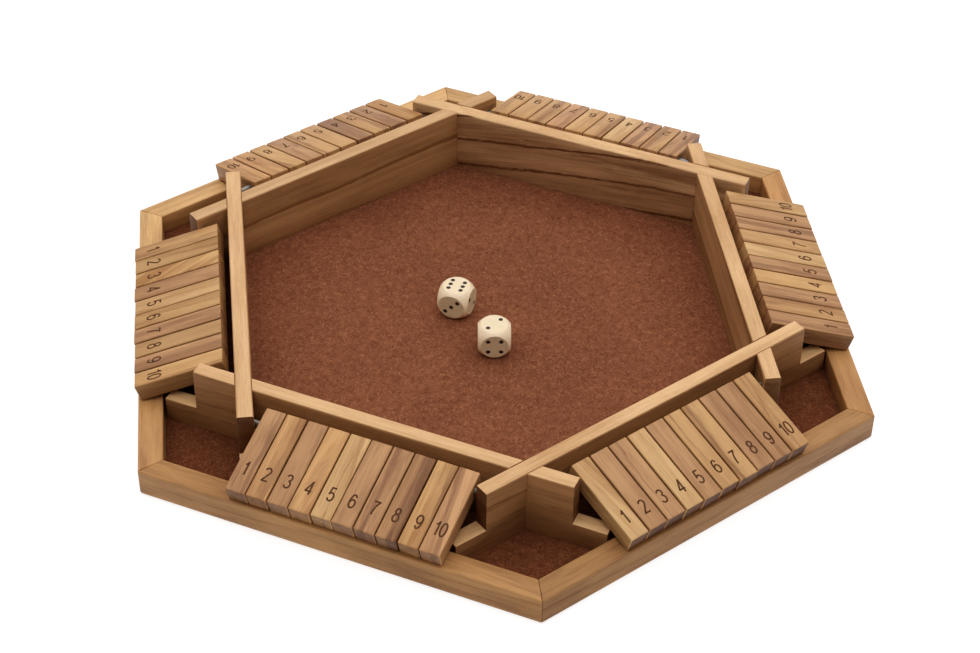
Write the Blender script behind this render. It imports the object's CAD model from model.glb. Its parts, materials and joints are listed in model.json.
import json
import math
import random

import bmesh
import bpy
from mathutils import Euler, Matrix, Vector


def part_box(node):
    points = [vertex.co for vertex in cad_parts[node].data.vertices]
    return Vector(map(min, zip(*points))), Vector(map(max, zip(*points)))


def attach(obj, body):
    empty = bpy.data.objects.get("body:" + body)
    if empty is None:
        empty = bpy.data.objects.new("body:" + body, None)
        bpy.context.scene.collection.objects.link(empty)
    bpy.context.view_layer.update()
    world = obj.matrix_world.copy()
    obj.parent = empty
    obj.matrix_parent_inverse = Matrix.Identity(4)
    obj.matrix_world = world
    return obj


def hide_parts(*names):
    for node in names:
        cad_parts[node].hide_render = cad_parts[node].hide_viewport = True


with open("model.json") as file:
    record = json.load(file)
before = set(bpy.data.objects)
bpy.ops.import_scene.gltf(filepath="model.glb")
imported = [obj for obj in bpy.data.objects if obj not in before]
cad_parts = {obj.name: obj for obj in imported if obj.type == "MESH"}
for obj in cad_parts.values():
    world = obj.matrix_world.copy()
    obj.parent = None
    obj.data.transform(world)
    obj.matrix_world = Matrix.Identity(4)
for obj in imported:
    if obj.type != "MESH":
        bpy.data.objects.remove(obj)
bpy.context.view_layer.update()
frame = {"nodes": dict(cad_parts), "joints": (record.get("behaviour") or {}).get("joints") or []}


# Outer rails. Six lengths of oiled hardwood are mitred and glued into a hexagonal tray frame,
# with the outer lower edge rounded over and the upper edges eased. The grain runs along each
# rail, and every length was cut from a different part of the plank.
MM = 0.001
SIDES = "abcdef"


def colour(red, green, blue):
    """A colour given as it looks, 0 to 255, in the linear values that materials use."""
    channels = [c / 255 for c in (red, green, blue)]
    return (*((c + 0.055) ** 2.4 / 1.055 ** 2.4 if c > 0.04045 else c / 12.92 for c in channels), 1)


def dimmed(tones, light):
    return [(*(c * light for c in tone[:3]), 1) for tone in tones]


def add_node(tree, kind, inputs=None, **settings):
    """Adds a node; each input is a plain value or the socket to link it from."""
    node = tree.nodes.new(kind)
    for name, value in settings.items():
        setattr(node, name, value)
    for name, value in (inputs or {}).items():
        if isinstance(value, bpy.types.NodeSocket):
            tree.links.new(value, node.inputs[name])
        else:
            node.inputs[name].default_value = value
    return node


def vector_math(tree, operation, first, second):
    inputs = {0: first, 1: second}
    return add_node(tree, "ShaderNodeVectorMath", inputs, operation=operation).outputs[0]


def dot(tree, first, second):
    node = add_node(tree, "ShaderNodeVectorMath", {0: first, 1: second}, operation="DOT_PRODUCT")
    return node.outputs["Value"]


def arithmetic(tree, operation, first, second=0.0, clamp=False):
    node = add_node(tree, "ShaderNodeMath", {0: first, 1: second}, operation=operation)
    node.use_clamp = clamp
    return node.outputs[0]


def times(tree, first, second):
    return arithmetic(tree, "MULTIPLY", first, second)


def plus(tree, first, second, clamp=False):
    return arithmetic(tree, "ADD", first, second, clamp)


def stepped(tree, value, low, high, bottom=0.0, top=1.0):
    """Rises smoothly from bottom to top while value goes from low to high."""
    inputs = {"Value": value, "From Min": low, "From Max": high, "To Min": bottom, "To Max": top}
    return add_node(tree, "ShaderNodeMapRange", inputs, interpolation_type="SMOOTHSTEP").outputs[0]


def speckle(tree, place, scale, detail=3.0, roughness=0.55):
    """Noise from 0 to 1, with scale blotches to the metre along each axis."""
    return add_node(tree, "ShaderNodeTexNoise", {
        "Vector": vector_math(tree, "MULTIPLY", place, scale), "Scale": 1.0, "Detail": detail,
        "Roughness": roughness}).outputs["Fac"]


def mixed(tree, share, first, second, blend="MIX"):
    inputs = {"Factor": share, 6: first, 7: second}
    return add_node(tree, "ShaderNodeMix", inputs, data_type="RGBA", blend_type=blend).outputs[2]


def raised(tree, height, strength, distance):
    inputs = {"Height": height, "Strength": strength, "Distance": distance}
    return add_node(tree, "ShaderNodeBump", inputs).outputs["Normal"]


def bare_material(name):
    """A new material, its empty node tree and the coordinates on the object."""
    material = bpy.data.materials.new(name)
    material.use_nodes = True
    tree = material.node_tree
    tree.nodes.clear()
    return material, tree, tree.nodes.new("ShaderNodeTexCoord").outputs


def give_surface(tree, inputs):
    surface = add_node(tree, "ShaderNodeBsdfPrincipled", inputs)
    add_node(tree, "ShaderNodeOutputMaterial", {"Surface": surface.outputs[0]})


def hardwood_grain():
    """Colour, roughness and relief of sawn hardwood. Place is in metres, X along the grain."""
    tree = bpy.data.node_groups.new("hardwood grain", "ShaderNodeTree")
    numbers = ("Across", "End", "Ring gap", "Rings", "Ring shade", "Bend", "Ragged", "Streaks",
               "Clouds", "Flecks", "Stain", "Vein at", "Vein width", "Vein share")
    sockets = {"Place": "Vector", "Pale": "Color", "Deep": "Color", "Vein": "Color"}
    for name, kind in (sockets | dict.fromkeys(numbers, "Float")).items():
        tree.interface.new_socket(name, in_out="INPUT", socket_type="NodeSocket" + kind)
    for name, kind in {"Color": "Color", "Roughness": "Float", "Height": "Float"}.items():
        tree.interface.new_socket(name, in_out="OUTPUT", socket_type="NodeSocket" + kind)
    given = tree.nodes.new("NodeGroupInput").outputs
    place = given["Place"]

    # growth rings: each darkens slowly outward and ends in a thin, ragged line of late wood
    spread = add_node(tree, "ShaderNodeVectorMath", {
        0: vector_math(tree, "MULTIPLY", place, (0, 1, 1))}, operation="LENGTH").outputs["Value"]
    bend = stepped(tree, speckle(tree, place, (6, 30, 30), 2, 0.5), 0.2, 0.8, -4.5 * MM, 4.5 * MM)
    ragged = stepped(
        tree, speckle(tree, place, (120, 1000, 1000), 5, 0.8), 0.2, 0.8, -0.3 * MM, 0.3 * MM)
    radius = plus(tree, spread, times(tree, bend, given["Bend"]))
    radius = plus(tree, radius, times(tree, ragged, given["Ragged"]))
    ring = arithmetic(tree, "FRACT", arithmetic(tree, "DIVIDE", radius, given["Ring gap"]))
    line = times(tree, stepped(tree, ring, 0.86, 0.95), stepped(tree, ring, 1.0, 0.965))
    shade = times(tree, stepped(tree, ring, 0.30, 0.92), stepped(tree, ring, 1.0, 0.94))
    rings = plus(tree, times(tree, line, given["Rings"]), times(tree, shade, given["Ring shade"]))
    faded = stepped(tree, speckle(tree, place, (9, 60, 60), 2, 0.5), 0.3, 0.62, 0.35, 1.0)
    rings = times(tree, rings, faded)

    # streaks of two widths, and clouds that make whole areas lighter or darker
    broad = stepped(tree, speckle(tree, place, (9, 260, 260), 3, 0.6), 0.36, 0.68)
    fine = stepped(tree, speckle(tree, place, (45, 1100, 1100), 4, 0.7), 0.38, 0.7)
    streaks = plus(tree, times(tree, broad, 0.5), times(tree, fine, 0.5))
    clouds = stepped(tree, speckle(tree, place, (16, 60, 60), 2, 0.5), 0.3, 0.7, -1, 1)
    dark = plus(tree, rings, times(tree, streaks, given["Streaks"]))
    dark = plus(tree, dark, times(tree, clouds, given["Clouds"]), clamp=True)
    wood = mixed(tree, dark, given["Pale"], given["Deep"])

    # heartwood stain: soft patches and one dark, wandering band of the vein's colour
    stain = stepped(tree, speckle(tree, place, (38, 220, 220), 4, 0.65), 0.46, 0.70)
    wood = mixed(tree, times(tree, stain, given["Stain"]), wood, given["Vein"])
    wander = stepped(
        tree, speckle(tree, place, (14, 90, 90), 4, 0.7), 0.2, 0.8, -1.8 * MM, 1.8 * MM)
    away = plus(tree, arithmetic(tree, "SUBTRACT", given["Across"], given["Vein at"]), wander)
    away = arithmetic(tree, "DIVIDE", arithmetic(tree, "ABSOLUTE", away), given["Vein width"])
    vein = times(tree, stepped(tree, away, 1.35, 0.6), given["Vein share"])
    streaky = stepped(tree, speckle(tree, place, (22, 420, 420), 3, 0.6), 0.3, 0.6, 0.4, 1.0)
    wood = mixed(tree, times(tree, vein, streaky), wood, given["Vein"])

    # open pores, short pale flecks between them, and darker end grain
    pores = stepped(tree, speckle(tree, place, (110, 2600, 2600), 2, 0.6), 0.58, 0.72)
    flecks = stepped(tree, speckle(tree, place, (130, 1700, 1700), 2, 0.5), 0.64, 0.72)
    in_pores = mixed(tree, 1.0, wood, (0.55, 0.45, 0.38, 1), "MULTIPLY")
    wood = mixed(tree, times(tree, pores, 0.4), wood, in_pores)
    wood = mixed(tree, times(tree, flecks, given["Flecks"]), wood, given["Pale"])
    end_grain = mixed(tree, 1.0, wood, (0.22, 0.135, 0.06, 1), "MULTIPLY")
    add_node(tree, "NodeGroupOutput", {
        "Color": mixed(tree, given["End"], wood, end_grain),
        "Roughness": stepped(tree, plus(tree, dark, pores), 0.0, 1.6, 0.46, 0.62),
        "Height": arithmetic(tree, "SUBTRACT", times(tree, fine, 0.35), pores)})
    return tree


GRAIN = hardwood_grain()


def hardwood(name, turn, centre, pith, tones, gap=9 * MM, rings=0.4, ring_shade=0.2, bend=1.0,
             ragged=1.0, bow=0.0, streaks=0.55, clouds=0.14, flecks=0.3, stain=0.0,
             vein=(0, 1 * MM, 0), end_dark=0.27, back_dark=None, side_dark=0.0, far_tones=None,
             edge_tones=None):
    """Oiled hardwood whose grain runs along the X of the turned frame at centre.

    pith is the offset in that frame of the middle of the growth rings, gap their spacing and
    bow how far they sink, in metres, at 0.1 m from the middle. vein is the place across, the
    half-width and the strength of one dark band. end_dark is how dark the end grain is, and
    back_dark the same at the -X end, where it differs. side_dark is how much of that the sawn
    sides take on. far_tones are the pale and deep tones that the wood reaches at the +X end.
    edge_tones are the pale and deep tones of the faces that look up, where they differ. bend
    and ragged are how much the rings wander and fray, where 1 is as on most wood; rings,
    ring_shade, streaks, clouds, flecks and stain are the strengths of those marks.
    """
    material, tree, own = bare_material(name)
    board = add_node(tree, "ShaderNodeMapping", {
        "Vector": own["Object"], "Location": centre, "Rotation": turn},
        vector_type="TEXTURE").outputs[0]
    parts = add_node(tree, "ShaderNodeSeparateXYZ", {0: board}).outputs
    place = vector_math(tree, "SUBTRACT", board, pith)
    if bow:
        squared = arithmetic(tree, "POWER", arithmetic(tree, "ABSOLUTE", parts["X"]), 2)
        sunk = add_node(tree, "ShaderNodeCombineXYZ", {"Z": times(tree, squared, bow / 0.1 ** 2)})
        place = vector_math(tree, "ADD", place, sunk.outputs[0])

    along, aside = (Euler(turn).to_matrix() @ Vector(axis) for axis in ((1, 0, 0), (0, 1, 0)))
    facing = dot(tree, own["Normal"], along)
    back = stepped(tree, facing, -0.75, -0.95, 0, end_dark if back_dark is None else back_dark)
    end = plus(tree, stepped(tree, facing, 0.75, 0.95, 0, end_dark), back)
    if side_dark:
        sideways = arithmetic(tree, "ABSOLUTE", dot(tree, own["Normal"], aside))
        end = plus(tree, end, stepped(tree, sideways, 0.75, 0.95, 0, side_dark))

    pale, deep, dark_vein = tones
    if far_tones:
        far = stepped(tree, parts["X"], -80 * MM, 80 * MM)
        pale, deep = mixed(tree, far, pale, far_tones[0]), mixed(tree, far, deep, far_tones[1])
    if edge_tones:
        upward = add_node(tree, "ShaderNodeSeparateXYZ", {0: own["Normal"]}).outputs["Z"]
        upward = stepped(tree, upward, 0.6, 0.9)
        pale = mixed(tree, upward, pale, edge_tones[0])
        deep = mixed(tree, upward, deep, edge_tones[1])
        rings = stepped(tree, upward, 0, 1, rings, 0.2 * rings)
    grain = add_node(tree, "ShaderNodeGroup", {
        "Place": place, "Across": parts["Y"], "End": end, "Pale": pale, "Deep": deep,
        "Vein": dark_vein, "Ring gap": gap, "Rings": rings, "Ring shade": ring_shade,
        "Bend": bend, "Ragged": ragged, "Streaks": streaks, "Clouds": clouds, "Flecks": flecks,
        "Stain": stain, "Vein at": vein[0], "Vein width": vein[1], "Vein share": vein[2],
    }, node_tree=GRAIN).outputs
    give_surface(tree, {
        "Base Color": grain["Color"], "Roughness": grain["Roughness"],
        "Normal": raised(tree, grain["Height"], 0.3, 0.1 * MM), "Specular IOR Level": 0.25})
    return material


def solids(node):
    """One merged copy of each solid in a CAD node, as a list of bmeshes."""
    whole = bmesh.new()
    whole.from_mesh(frame["nodes"][node].data)
    bmesh.ops.remove_doubles(whole, verts=whole.verts, dist=0.001 * MM)
    bmesh.ops.dissolve_limit(whole, angle_limit=math.radians(0.3), verts=whole.verts,
                             edges=whole.edges)
    whole.verts.index_update()
    island = {}
    for start in whole.verts:
        if start.index in island:
            continue
        island[start.index], reached = start.index, [start]
        while reached:
            for edge in reached.pop().link_edges:
                for corner in edge.verts:
                    if corner.index not in island:
                        island[corner.index] = start.index
                        reached.append(corner)
    found = []
    for first in sorted(set(island.values())):
        part = whole.copy()
        part.verts.index_update()
        others = [v for v in part.verts if island[v.index] != first]
        bmesh.ops.delete(part, geom=others, context="VERTS")
        found.append(part)
    whole.free()
    return found


def middle(part):
    return sum((v.co for v in part.verts), Vector()) / len(part.verts)


def ease(part, width, sharper_than=25):
    """Rounds over every edge that is sharper than so many degrees."""
    least = math.radians(sharper_than)
    sharp = [e for e in part.edges if e.is_manifold and e.calc_face_angle() > least]
    bmesh.ops.bevel(part, geom=sharp, offset=width, offset_type="OFFSET", segments=2, profile=0.5,
                    affect="EDGES", clamp_overlap=True, material=-1)


def finished(name, part, materials, body="root", smooth_below=38):
    """Makes a piece of a bmesh, smooth across its eased edges, and lets it ride on a body."""
    mesh = bpy.data.meshes.new(name)
    part.to_mesh(mesh)
    part.free()
    for material in materials:
        mesh.materials.append(material)
    mesh.shade_smooth()
    mesh.set_sharp_from_angle(angle=math.radians(smooth_below))
    piece = bpy.data.objects.new(name, mesh)
    bpy.context.scene.collection.objects.link(piece)
    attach(piece, body)
    return piece


def side_of(place):
    """The side, 0 for a to 5 for f, whose outward direction a place lies in."""
    return round((math.degrees(math.atan2(place.y, place.x)) + 90) / 60) % 6


def outward(side):
    angle = math.radians(60 * side - 90)
    return Vector((math.cos(angle), math.sin(angle), 0))


# one seeded source of chance for the whole game, so that every run makes the same one
chance = random.Random(7)
rail_tones = (colour(188, 139, 88), colour(140, 95, 58), colour(98, 63, 40))
pale_rail_tones = (colour(213, 168, 114), colour(163, 122, 78), colour(112, 76, 48))
# the tones at the two ends of each rail, going counterclockwise, and how light they are
RAIL_WOODS = {
    "a": (rail_tones, 0.86, rail_tones, 0.86),
    "b": (rail_tones, 0.76, rail_tones, 0.76),
    "c": (rail_tones, 1.03, rail_tones, 1.1),
    "d": (pale_rail_tones, 0.86, pale_rail_tones, 0.86),
    "e": (pale_rail_tones, 1.0, pale_rail_tones, 1.0),
    "f": (pale_rail_tones, 1.0, rail_tones, 0.97),
}
for rail in solids("outer_rails"):
    centre = middle(rail)
    side = side_of(centre)
    near, near_light, far, far_light = RAIL_WOODS[SIDES[side]]
    ease(rail, 0.25 * MM)
    wood = hardwood(
        f"rail wood {SIDES[side]}", (0, 0, math.radians(60 * side)), centre,
        (chance.uniform(-1, 1), chance.uniform(0.02, 0.06), chance.uniform(-0.06, -0.02)),
        dimmed(near, near_light), gap=chance.uniform(9, 14) * MM, rings=0.3, ring_shade=0.14,
        streaks=0.58, clouds=0.3, flecks=0.5, stain=0.25, far_tones=dimmed(far, far_light))
    piece = finished(f"rail_{SIDES[side]}", rail, [wood])
    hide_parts("outer_rails")


# Base panel. A thin birch plywood hexagon glued into the rabbet under the rails; only its
# underside shows, sanded and sealed, with the veneer's grain running along X.
panel_tones = (colour(214, 180, 132), colour(182, 142, 94), colour(150, 110, 70))
panel_wood = hardwood("base plywood", (0, 0, 0), (0, 0, 0), (0.3, 0.05, -0.35), panel_tones,
                      gap=24 * MM, streaks=0.35)
frame["nodes"]["base_panel"].material_slots[0].material = panel_wood


# Felt lining. A hexagon of reddish brown felt is laid on the base panel and runs under the
# wall boards to the rails. Its short fibres mat together with a few lighter hairs among them.

# the felt changes tone under the wall boards, between these distances from the tray's middle
wall_inner_face, wall_outer_face = 117 * MM, 124 * MM


def felt_material():
    material, tree, own = bare_material("reddish brown felt")
    place = own["Object"]
    matting = speckle(tree, place, (240, 240, 240), 4, 0.65)
    fibre = speckle(tree, place, (1300, 1300, 1300), 3, 0.6)
    patch = speckle(tree, place, (26, 26, 26), 3, 0.5)
    base = mixed(tree, stepped(tree, matting, 0.3, 0.7), colour(110, 65, 44), colour(130, 81, 57))
    base = mixed(tree, stepped(tree, patch, 0.3, 0.7, 0.0, 0.55), base, colour(106, 63, 43))
    # short hairs lie in all directions, most of them dark, some pale
    pale_hair = dark_hair = 0.0
    for degrees in (8, 52, 96, 140):
        lying = add_node(tree, "ShaderNodeVectorRotate", {
            "Vector": place, "Angle": math.radians(degrees)}, rotation_type="Z_AXIS").outputs[0]
        hair = speckle(tree, lying, (250, 2300, 700), 2, 0.5)
        pale_hair = arithmetic(tree, "MAXIMUM", pale_hair, stepped(tree, hair, 0.60, 0.70))
        dark_hair = arithmetic(tree, "MAXIMUM", dark_hair, stepped(tree, hair, 0.41, 0.32))
    base = mixed(tree, times(tree, dark_hair, 0.46), base, colour(80, 42, 28))
    base = mixed(tree, times(tree, pale_hair, 0.58), base, colour(168, 116, 86))
    # outside the well, where no dice rub it, the felt has kept its deep colour
    reach = 0.0
    for side in range(3):
        across = arithmetic(tree, "ABSOLUTE", dot(tree, place, outward(side)))
        reach = arithmetic(tree, "MAXIMUM", reach, across)
    unworn = mixed(tree, 1.0, base, (0.64, 0.58, 0.5, 1), "MULTIPLY")
    base = mixed(tree, stepped(tree, reach, wall_inner_face, wall_outer_face), base, unworn)
    nap = raised(tree, plus(tree, matting, times(tree, fibre, 0.6)), 0.55, 0.35 * MM)
    give_surface(tree, {
        "Base Color": base, "Roughness": 0.95, "Normal": nap, "Specular IOR Level": 0.1,
        "Sheen Weight": 0.05, "Sheen Roughness": 0.5, "Sheen Tint": colour(200, 150, 120)})
    return material


felt_low, felt_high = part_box("felt_lining")
felt_across = felt_high.y - felt_low.y
felt_corner = felt_across / 2 / math.cos(math.radians(30))
felt_thickness = felt_high.z - felt_low.z - 0.3 * MM
felt_wave, pressed_edge = 0.03 * MM, 0.25 * MM
felt = bmesh.new()
bmesh.ops.create_circle(felt, cap_ends=True, cap_tris=True, segments=6, radius=felt_corner,
                        matrix=Matrix.Translation((0, 0, felt_high.z)))
turned = min(felt.verts, key=lambda v: (v.co - Vector((felt_corner, 0, felt_high.z))).length).co
bmesh.ops.rotate(felt, verts=felt.verts,
                 matrix=Matrix.Rotation(-math.atan2(turned.y, turned.x), 3, "Z"))
bmesh.ops.subdivide_edges(felt, edges=felt.edges, cuts=40, use_grid_fill=True)
for corner in felt.verts:
    # the sheet waves a little, every 20 mm or so, and its cut edge is pressed down
    inside = felt_across / 2 - max(corner.co.dot(outward(side)) for side in range(6))
    bent = corner.co.x * 310 + 2.1 * math.sin(corner.co.y * 170)
    wave = math.sin(bent) * math.sin(corner.co.y * 270)
    corner.co.z -= felt_wave * (1 + wave) if inside > 1 * MM else pressed_edge
bmesh.ops.recalc_face_normals(felt, faces=felt.faces)
bmesh.ops.solidify(felt, geom=felt.faces, thickness=felt_thickness)
bmesh.ops.recalc_face_normals(felt, faces=felt.faces)
felt_piece = finished("felt_sheet", felt, [felt_material()])
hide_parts("felt_lining")


# Wall boards. Six oiled boards cross in half-laps outside the six corners of the well: three
# are slotted from above and three from below. Their long growth rings show as dark lines.
wall_tones = (colour(190, 144, 98), colour(138, 94, 58), colour(96, 60, 36))
pale_wall_tones = (colour(224, 182, 136), colour(132, 89, 56), colour(96, 60, 36))
dark_wall_tones = (colour(168, 122, 80), colour(118, 78, 48), colour(90, 56, 34))
wall_edge_tones = (colour(216, 174, 127), colour(176, 129, 84))
WALL_TONES = {"a": dark_wall_tones, "b": dark_wall_tones, "d": pale_wall_tones}
# for each board: spacing of its growth rings in millimetres, the strength of their lines and
# of the shade before each, how they slope along the board in degrees, how far they sink toward
# its ends and the height of the rings' middle above the board's own
WALL_GRAIN = {
    "a": (9, 0.4, 0.20, -0.8, 0, -95), "b": (10, 0.4, 0.22, 1.2, 0, -88),
    "c": (27, 0.8, 0.36, -1.5, 0, -70), "d": (15, 1.2, 0.18, 7.5, 5.0, -80.9),
    "e": (25, 1.1, 0.14, -0.3, 0, 91.9), "f": (9, 0.4, 0.2, 0.8, 0, -97),
}
# how dark the end grain and how light the upper edge is, on the boards that stand out
WALL_ENDS = {"a": 0.74, "b": 0.94, "f": 1.0}
WALL_EDGES = {"e": 0.86}
for node, slot in (("wall_boards_under", "wall_wood"), ("wall_boards_over", "wall_wood_light")):
    for board in solids(node):
        side = side_of(middle(board))
        name = SIDES[side]
        gap, lines, shade, slope, bow, rise = WALL_GRAIN[name]
        ease(board, 0.2 * MM)
        wood = hardwood(
            f"wall wood {name}", (0, math.radians(slope), math.radians(60 * side)), middle(board),
            (chance.uniform(-1, 1), chance.uniform(-0.02, 0.02), rise * MM),
            WALL_TONES.get(name, wall_tones), gap=gap * MM, rings=lines, ring_shade=shade,
            bend=0.45, ragged=2.4, bow=bow * MM, streaks=0.6, clouds=0.18, flecks=0.8,
            end_dark=WALL_ENDS.get(name, 0.8),
            edge_tones=dimmed(wall_edge_tones, WALL_EDGES.get(name, 1)))
        piece = finished(f"wall_board_{name}", board, [wood])
        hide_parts(node)


# Pivot rods. Six lengths of drawn steel rod, their ends let into the neighbouring wall boards.
# They are left bare, with fine marks along their length from drawing.
def steel_material():
    material, tree, own = bare_material("drawn steel")
    marks = speckle(tree, own["Object"], (600, 600, 4000), 3, 0.6)
    give_surface(tree, {
        "Base Color": mixed(tree, marks, colour(126, 123, 118), colour(160, 156, 150)),
        "Metallic": 1.0, "Roughness": stepped(tree, marks, 0.3, 0.7, 0.42, 0.56)})
    return material


frame["nodes"]["pivot_rods"].material_slots[0].material = steel_material()


# Numbered tiles. Each is a hardwood stick drilled across near its inner end and numbered 1 to
# 10 in dark ink, from left to right as its player sees them. The sticks come from mixed offcuts,
# so pale, pinkish and dark brown ones lie side by side, some with a broad dark vein.
TONES = {
    "cream": (colour(206, 166, 116), colour(166, 122, 78), colour(120, 80, 52)),
    "honey": (colour(200, 156, 104), colour(158, 110, 66), colour(116, 76, 48)),
    "tan": (colour(192, 148, 99), colour(150, 104, 65), colour(118, 78, 50)),
    "rose": (colour(184, 139, 97), colour(142, 99, 67), colour(118, 79, 54)),
    "umber": (colour(172, 128, 86), colour(124, 85, 57), colour(116, 77, 51)),
}
# how strongly the vein's colour clouds each kind of wood
STAINS = {"cream": 0.05, "honey": 0.15, "tan": 0.3, "rose": 0.4, "umber": 0.6}
# the wood of each row's tiles, from 1 to 10
ROWS = {
    "a": "rose tan rose tan cream rose rose umber honey rose",
    "b": "cream rose rose cream rose tan tan rose rose tan",
    "c": "rose tan rose honey rose cream tan rose rose cream",
    "d": "rose tan rose cream tan honey rose tan tan honey",
    "e": "honey rose tan rose tan tan rose honey tan tan",
    "f": "tan honey honey rose cream honey rose tan rose honey",
}
# place across and half-width in millimetres, and strength, of the dark veins
VEINS = {
    "a1": (3.2, 1.1, 0.5), "a2": (2.5, 1.8, 0.6), "a5": (0.4, 0.25, 0.8), "a7": (-2.5, 1.8, 0.7),
    "a8": (1.7, 3.2, 1.0), "a9": (3.6, 1.2, 0.7), "a10": (-3.2, 1.7, 0.7), "b1": (4.4, 0.7, 0.4),
    "b3": (0.4, 0.25, 0.8), "b6": (-0.6, 0.3, 0.6), "b7": (-2.2, 1.2, 0.7), "b8": (1.0, 2.5, 0.3),
    "c1": (-2.0, 1.6, 0.5), "c5": (-1.6, 1.6, 0.7), "c8": (2.0, 1.8, 0.6), "c9": (-3.0, 1.0, 0.4),
    "d1": (-1.5, 1.4, 0.6), "d2": (2.4, 1.6, 0.5), "d3": (1.0, 2.0, 0.8), "d5": (-2.0, 1.2, 0.6),
    "d7": (-1.0, 2.0, 0.7), "d8": (0.0, 2.5, 0.5), "d10": (2.0, 1.6, 0.6), "e2": (0.5, 3.5, 0.6),
    "e3": (-3.4, 1.2, 0.6), "e4": (0.0, 4.6, 0.6), "e6": (2.0, 0.9, 0.6), "e8": (1.5, 1.5, 0.6),
    "e10": (1.0, 2.2, 0.4), "f1": (1.4, 2.0, 0.5), "f3": (2.6, 1.3, 0.2), "f7": (-2.0, 1.6, 0.4),
    "f9": (1.2, 2.4, 0.4), "f10": (3.6, 0.9, 0.4),
}
# how light a few tiles are beside the others of their wood
LIGHTS = {"a2": 1.15, "a4": 1.2, "a10": 1.15, "d3": 1.15, "d7": 1.2, "e9": 1.15, "e10": 1.15,
          "f2": 0.8, "f6": 0.87, "f8": 0.85}
# how far the grain runs askew on a few tiles, in degrees
SLANTS = {"a4": -7, "a10": 6, "b1": 8, "c6": -6, "c10": 7, "e8": 9, "f3": 24, "f6": -6}
# how dark the end grain is on the row whose ends stand out
ROW_ENDS = {"b": 1.0}
# how each row has settled: its shift toward tile 10 and the extra room between tiles, in
# millimetres, how far its tiles have turned askew, from the first to the last, in degrees,
# and the distance in millimetres from the tiles' outer end to the foot of the numbers
SETTLED = {
    "a": (-0.42, -0.08, 0.0, -1.2, 8.7), "b": (1.13, -0.02, 0.8, 0.3, 7.4),
    "c": (0.93, 0.04, 0.1, 0.9, 7.8), "d": (0.7, 0.0, 0.3, 0.3, 8.6),
    "e": (-0.95, 0.035, -0.6, -0.8, 8.4), "f": (-0.98, 0.03, -0.5, -0.9, 6.3),
}
digit_height = 7.25 * MM
digit_stroke = 0.88 * MM
# the height of the ink beside half the width of its stroke
ink_flatness = 0.06
# a stroke that turns by more than this, in radians, has a corner there
stroke_corner = 0.6


def arc(across, up, half_width, half_height, start, end):
    """Points on an oval, about 15 degrees apart, from one angle to the other, in degrees."""
    steps = max(2, round(abs(end - start) / 15))
    angles = [math.radians(start + (end - start) * i / steps) for i in range(steps + 1)]
    return [(across + half_width * math.cos(a), up + half_height * math.sin(a)) for a in angles]


# the strokes of each digit, in digit heights from the middle of its foot
six = [arc(0.0, 0.47, 0.185, 0.48, 40, 180) + arc(0, 0.325, 0.185, 0.275, 180, -180)]
DIGITS = {
    "0": [arc(0, 0.5, 0.175, 0.45, 90, -270)],
    "1": [[(-0.13, 0.73), (-0.03, 0.80), (0.04, 0.95), (0.04, 0.03)]],
    "2": [arc(0, 0.735, 0.18, 0.215, 168, -32) + [(-0.19, 0.05), (0.205, 0.05)]],
    "3": [arc(-0.005, 0.745, 0.165, 0.205, 165, -90), arc(0, 0.295, 0.185, 0.245, 90, -162)],
    "4": [[(0.2, 0.28), (-0.2, 0.28), (0.09, 0.95), (0.09, 0.03)]],
    "5": [[(0.17, 0.95), (-0.11, 0.95), (-0.155, 0.5)] + arc(-0.005, 0.33, 0.185, 0.28, 128, -158)],
    "6": six,
    "7": [[(-0.19, 0.95), (0.195, 0.95)] + arc(0.35, 0.03, 0.415, 0.98, 112, 180)],
    "8": [arc(0, 0.755, 0.15, 0.195, -90, 270), arc(0, 0.305, 0.185, 0.255, 90, -270)],
    "9": [[(-u, 1 - v) for u, v in stroke] for stroke in six],
}
# where the digits of a number of one or of two stand, in digit heights from its middle
DIGIT_PLACES = {1: (0,), 2: (-0.23, 0.185)}


def inked_number(text):
    """The strokes of a number, flattened to a film of ink, its foot on Y = 0."""
    lines = bpy.data.curves.new("number", "CURVE")
    lines.dimensions = "3D"
    lines.bevel_depth = digit_stroke / 2
    lines.bevel_resolution = 1
    lines.use_fill_caps = True
    corner_spots = []
    for digit, shift in zip(text, DIGIT_PLACES[len(text)]):
        for stroke in DIGITS[digit]:
            # a stroke is broken at its corners, which balls of ink fill afterwards
            spots = [Vector(((u + shift) * digit_height, v * digit_height)) for u, v in stroke]
            corners = [i for i in range(1, len(spots) - 1)
                       if (spots[i] - spots[i - 1]).angle(spots[i + 1] - spots[i]) > stroke_corner]
            for first, last in zip([0] + corners, corners + [len(spots) - 1]):
                line = lines.splines.new("POLY")
                line.points.add(last - first)
                for point, spot in zip(line.points, spots[first:last + 1]):
                    point.co = (*spot, 0, 1)
            corner_spots += [spots[i] for i in corners]
    drawn = bpy.data.objects.new("number", lines)
    mesh = bpy.data.meshes.new_from_object(drawn)
    bpy.data.objects.remove(drawn)
    film = bmesh.new()
    film.from_mesh(mesh)
    for spot in corner_spots:
        bmesh.ops.create_icosphere(film, subdivisions=2, radius=digit_stroke / 2,
                                   matrix=Matrix.Translation((*spot, 0)))
    bmesh.ops.scale(film, verts=film.verts, vec=(1, 1, ink_flatness))
    return film


def print_number(stick, number, foot, top):
    """Lays a number on the top of a lying stick, its foot toward the stick's outer end."""
    film = inked_number(str(number))
    reading = Matrix(((0, -1, 0, foot), (1, 0, 0, 0), (0, 0, 1, top), (0, 0, 0, 1)))
    bmesh.ops.transform(film, matrix=reading, verts=film.verts)
    mesh = bpy.data.meshes.new("number on tile")
    film.to_mesh(mesh)
    film.free()
    wood_faces = set(stick.faces)
    stick.from_mesh(mesh)
    for face in set(stick.faces) - wood_faces:
        face.material_index = 1


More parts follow.
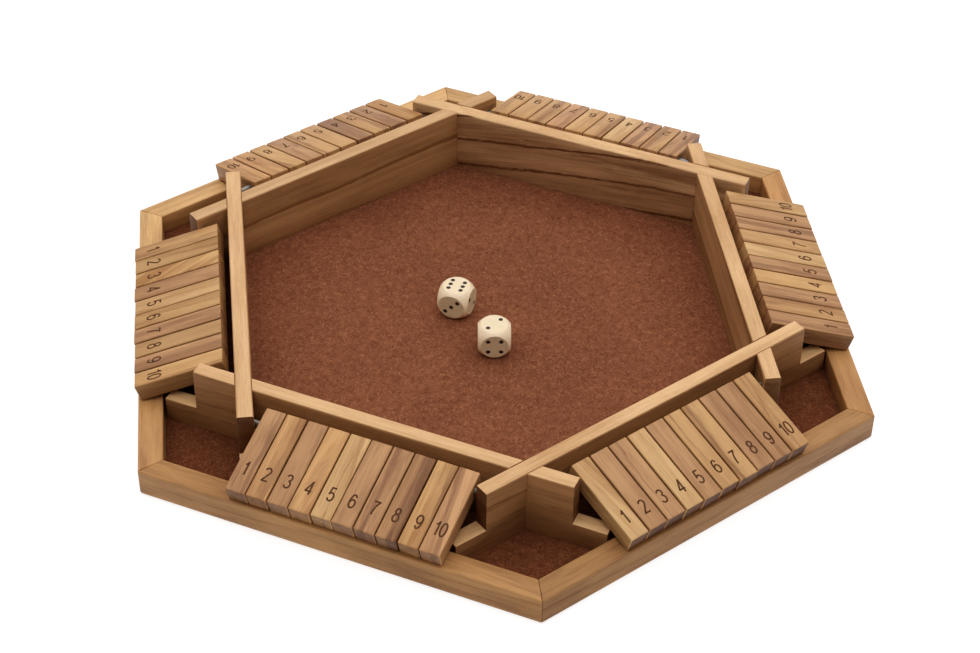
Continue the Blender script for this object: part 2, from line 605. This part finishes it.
def ink_material():
    material, tree, own = bare_material("number ink")
    wear = stepped(tree, speckle(tree, own["Object"], (1400, 1400, 1400), 3, 0.6), 0.35, 0.75)
    give_surface(tree, {
        "Base Color": mixed(tree, wear, colour(72, 47, 32), colour(104, 71, 46)),
        "Roughness": 0.7, "Specular IOR Level": 0.1})
    return material


def tile_wood(name, tone, turn, pivot):
    vein_at, vein_half_width, vein_strength = VEINS.get(name, (0, 1, 0))
    slanted = turn.to_matrix() @ Matrix.Rotation(math.radians(SLANTS.get(name, 0)), 3, "Z")
    return hardwood(
        f"tile wood {name}", slanted.to_euler(), pivot,
        (chance.uniform(-1, 1), chance.uniform(-0.03, 0.03), chance.uniform(-0.06, -0.03)),
        dimmed(TONES[tone], LIGHTS.get(name, 1)), gap=chance.uniform(4, 9) * MM,
        rings=chance.uniform(0.1, 0.45), ring_shade=chance.uniform(0.06, 0.24),
        streaks=chance.uniform(0.5, 0.95), clouds=0.26,
        stain=STAINS[tone] * chance.uniform(0.4, 1.5), end_dark=ROW_ENDS.get(name[0], 0.6),
        back_dark=0.3, side_dark=0.34,
        vein=(vein_at * MM, vein_half_width * MM, vein_strength))


ink = ink_material()
hinges = {joint["child"]: joint["pos_m"] for joint in frame["joints"] if joint["type"] == "hinge"}
rod_distance, rod_height = -hinges["tile_a1"][1], hinges["tile_a1"][2]
tile_pitch = hinges["tile_a2"][0] - hinges["tile_a1"][0]
# a lying tile slopes as its largest upward face does
upper_face = max(frame["nodes"]["tile_a1"].data.polygons,
                 key=lambda face: face.area if face.normal.z > 0 else 0)
tile_slope = math.atan2(-upper_face.normal.y, upper_face.normal.z)
# a row's middle in numbers, and how far from the rod a tile's outer part begins
mid_row = 5.5
outer_part = 10 * MM
tile_nodes = [f"tile_{s}{k}" for s in "abcef" for k in range(1, 11)]
for node in tile_nodes + ["tiles_d_first_half", "tiles_d_last_half"]:
    for stick in solids(node):
        side = side_of(middle(stick))
        row = SIDES[side]
        along_row = outward(side + 1.5)
        number = round(middle(stick).dot(along_row) / tile_pitch + mid_row)
        name = f"{row}{number}"
        shift, spread, askew_first, askew_last, foot = SETTLED[row]

        # turned to lie flat, its rod on the Y axis and its outer end toward +X
        turn = Euler((0, tile_slope, math.radians(60 * side - 90)))
        pivot = outward(side) * rod_distance + along_row * (number - mid_row) * tile_pitch
        pivot.z = rod_height
        lying = Matrix.Translation(pivot) @ turn.to_matrix().to_4x4()
        bmesh.ops.transform(stick, matrix=lying.inverted(), verts=stick.verts)

        # eased, made a little narrower, and longer or shorter than its neighbours, and numbered
        ease(stick, 0.13 * MM)
        outer_end = max(v.co.x for v in stick.verts)
        top = max(v.co.z for v in stick.verts)
        uneven = chance.uniform(-0.25, 0.25) * MM
        bmesh.ops.scale(stick, verts=stick.verts, vec=(1, chance.uniform(0.942, 0.985), 1))
        for corner in stick.verts:
            if corner.co.x > outer_part:
                corner.co.x += uneven
        print_number(stick, number, outer_end - foot * MM + uneven, top)

        # back in its place in the row, a little askew and not quite down on the rail
        askew = math.radians(askew_first + (askew_last - askew_first) * (number - 1) / 9)
        lifted = math.radians(chance.uniform(0, 0.2))
        slid = (shift + spread * (number - mid_row) + chance.uniform(-0.1, 0.1)) * MM
        settled = Matrix.Rotation(askew, 4, "Z") @ Matrix.Rotation(-lifted, 4, "Y")
        bmesh.ops.transform(stick, matrix=lying @ Matrix.Translation((0, slid, 0)) @ settled,
                            verts=stick.verts)

        tone = ROWS[row].split()[number - 1]
        wood = tile_wood(name, tone, turn, pivot)
        piece = finished(f"number_tile_{name}", stick, [wood, ink], node)
        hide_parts(node)


# Dice. Two wooden cubes with their corners rounded off as if by a ball, lacquered ivory, with
# the pips hollowed out and painted dark brown. They lie loose on the felt.
def ivory_material(name, tones, lacquer):
    material, tree, own = bare_material(name)
    grain = speckle(tree, own["Object"], (140, 900, 900), 3, 0.6)
    give_surface(tree, {
        "Base Color": mixed(tree, stepped(tree, grain, 0.3, 0.75), *tones),
        "Roughness": stepped(tree, grain, 0.2, 0.8, 0.34, 0.46),
        "Normal": raised(tree, grain, 0.03, 0.1 * MM),
        "Coat Weight": lacquer, "Coat Roughness": 0.25, "Specular IOR Level": 0.35})
    return material


def pip_paint():
    material, tree, own = bare_material("pip paint")
    blotches = speckle(tree, own["Object"], (900, 900, 900), 3)
    give_surface(tree, {
        "Base Color": mixed(tree, blotches, colour(34, 20, 16), colour(62, 40, 30)),
        "Roughness": 0.45})
    return material


# the rounded parts shine, and the flats, which rub on the felt, have gone dull
ivory = ivory_material(
    "ivory lacquer", dimmed((colour(246, 224, 190), colour(241, 215, 178)), 1.06), 1.0)
dull_ivory = ivory_material(
    "ivory lacquer on the flats", dimmed((colour(242, 221, 186), colour(237, 213, 173)), 0.85), 0.1)
pip_brown = pip_paint()
# the pips are less than pip_depth deep, and no part of them is further from the middle of a
# face than pips_half along its sides, or pips_diagonal in any direction
pip_depth = 1 * MM
pips_half, pips_diagonal = 4.4 * MM, 5.6 * MM
# how far each die is turned on the felt, in degrees
for name, turn in {"die_1": 3.6, "die_2": 24.3}.items():
    low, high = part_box(name)
    centre = (low + high) / 2
    half = (high.z - low.z) / 2
    cube = bmesh.new()
    cube.from_mesh(frame["nodes"][name].data)
    bmesh.ops.remove_doubles(cube, verts=cube.verts, dist=0.001 * MM)
    square = Matrix.Rotation(math.radians(-turn), 3, "Z")
    for face in cube.faces:
        # how far the face lies from the die's middle along the axes, the furthest last
        first, second, reach = sorted(abs(x) for x in square @ (face.calc_center_median() - centre))
        in_pips = second < pips_half and math.hypot(first, second) < pips_diagonal
        if reach > half - 0.02 * MM:
            face.material_index = 2
        elif reach > half - pip_depth and in_pips:
            face.material_index = 1
    piece = finished(f"{name}_cube", cube, [ivory, pip_brown, dull_ivory], name, smooth_below=20)
    for face in piece.data.polygons:
        face.use_smooth = face.material_index != 2
    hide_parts(name)


# Studio. A plain white floor under one broad soft light, and the camera above the table on the
# player's side. The floor also glows, which keeps the shadow round the tray pale.
floor_paint = bpy.data.materials.new("white floor")
floor_paint.use_nodes = True
for socket, value in {
        "Base Color": (0.38, 0.38, 0.38, 1), "Roughness": 0.9, "Specular IOR Level": 0.0,
        "Emission Color": (1, 1, 1, 1), "Emission Strength": 0.74}.items():
    floor_paint.node_tree.nodes["Principled BSDF"].inputs[socket].default_value = value
ground = bmesh.new()
bmesh.ops.create_grid(ground, x_segments=1, y_segments=1, size=6)
floor_mesh = bpy.data.meshes.new("studio_floor")
ground.to_mesh(floor_mesh)
ground.free()
floor_mesh.materials.append(floor_paint)
floor = bpy.data.objects.new("studio_floor", floor_mesh)
bpy.context.scene.collection.objects.link(floor)

overhead = bpy.data.lights.new("overhead light", "SUN")
overhead.energy = 3.6
overhead.angle = math.radians(110)
overhead_lamp = bpy.data.objects.new("overhead light", overhead)
overhead_lamp.rotation_euler = Vector((0.03, -0.12, -1)).to_track_quat("-Z", "Y").to_euler()
bpy.context.scene.collection.objects.link(overhead_lamp)

# dim all round, but a white backdrop shines low down on the side away from the player
world = bpy.data.worlds.new("studio")
world.use_nodes = True
around = world.node_tree
toward = around.nodes.new("ShaderNodeTexCoord").outputs["Generated"]
beyond = stepped(around, dot(around, toward, (-0.38, 0.92, 0)), 0.1, 0.8, 0.0, 0.65)
height = add_node(around, "ShaderNodeSeparateXYZ", {0: toward}).outputs["Z"]
backdrop = times(around, beyond, stepped(around, height, 0.5, 0.3))
background = around.nodes["Background"].inputs
background["Color"].default_value = (1, 1, 1, 1)
around.links.new(plus(around, 0.03, backdrop), background["Strength"])
bpy.context.scene.world = world

# a tone curve deepens the shadows a little
viewing = bpy.context.scene.view_settings
viewing.view_transform = "Standard"
viewing.use_curve_mapping = True
for light, shown in ((0.01, 0.006), (0.03, 0.022), (0.07, 0.058), (0.15, 0.139), (0.27, 0.264),
                     (0.5, 0.5)):
    viewing.curve_mapping.curves[3].points.new(light, shown)
viewing.curve_mapping.update()

view_turn, view_rise, view_roll = (math.radians(a) for a in (22.556, 40.096, 0.801))
view_target = Vector((0.000956, 0.001807, 0.001))
view_distance = 1.05147
back = Vector((math.sin(view_turn) * math.cos(view_rise),
               -math.cos(view_turn) * math.cos(view_rise), math.sin(view_rise)))
right = Vector((0, 0, 1)).cross(back).normalized()
up = back.cross(right)
rolled_right = math.cos(view_roll) * right + math.sin(view_roll) * up
rolled_up = math.cos(view_roll) * up - math.sin(view_roll) * right
facing_object = Matrix((rolled_right, rolled_up, back)).transposed().to_4x4()
lens = bpy.data.cameras.new("camera")
lens.sensor_width = 36
lens.lens = 77.72
camera = bpy.data.objects.new("camera", lens)
camera.matrix_world = Matrix.Translation(view_target + view_distance * back) @ facing_object
bpy.context.scene.collection.objects.link(camera)
bpy.context.scene.camera = camera
